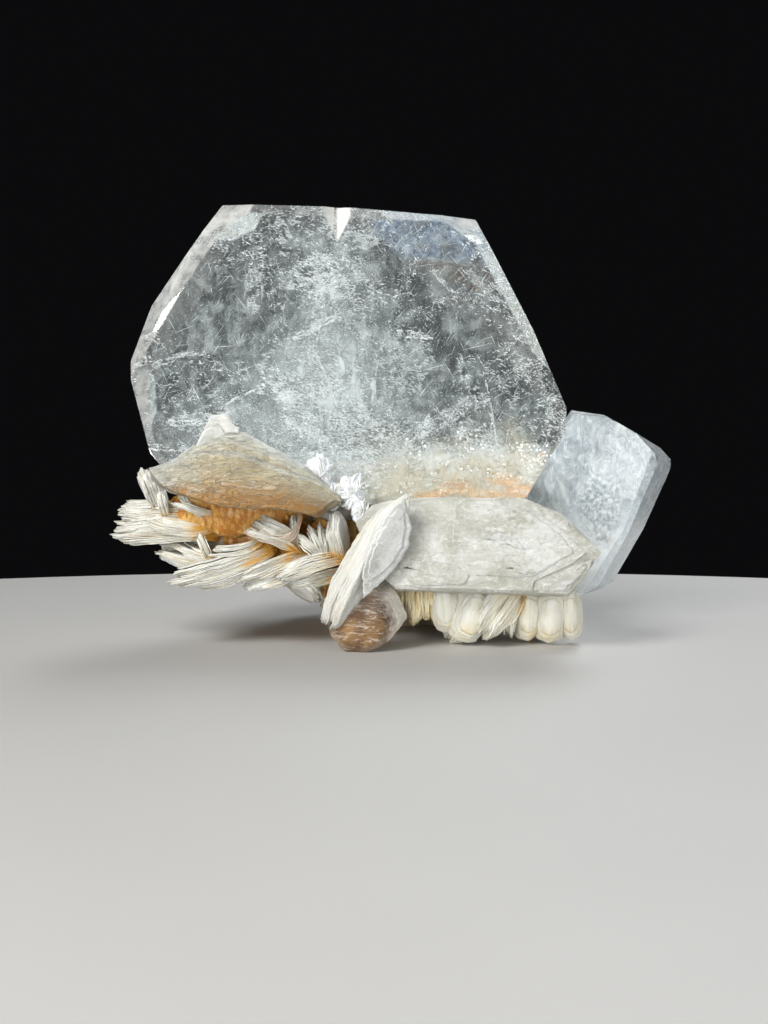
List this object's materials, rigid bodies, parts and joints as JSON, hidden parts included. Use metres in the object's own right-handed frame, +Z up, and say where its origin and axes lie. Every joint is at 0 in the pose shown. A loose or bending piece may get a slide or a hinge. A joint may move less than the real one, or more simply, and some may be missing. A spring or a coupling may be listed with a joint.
{
  "type": "beryl crystal on mica",
  "caption": "Clear six-sided tablet of beryl with a smaller cloudy one beside it, standing on fanned books of pale mica, a mineral specimen that rests on its own base",
  "frame": {"origin": "on the ground, under the middle of the specimen's box", "axes": "+X to the viewer's right along the specimen's length, +Y away from the viewer through its depth, +Z up"},
  "size_m": [0.065, 0.0318, 0.0489],
  "materials": {
    "clear_beryl": "polished",
    "cloudy_beryl": "satin",
    "iron_stain": "rough",
    "pale_mica": "satin",
    "beige_mica": "satin",
    "warm_mica": "satin",
    "white_mica": "satin",
    "cream_mica": "satin",
    "dull_mica": "satin"
  },
  "bodies": {
    "root": {"beryl_crystal": "clear_beryl", "beryl_crystal_small": "cloudy_beryl", "stained_matrix": "iron_stain", "mica_plate": "pale_mica", "mica_shell_book": "beige_mica", "mica_lens_book": "warm_mica", "mica_rosette_left": "white_mica", "mica_rosette_under": "cream_mica", "mica_rosette_back": "dull_mica"}
  },
  "joints": []
}
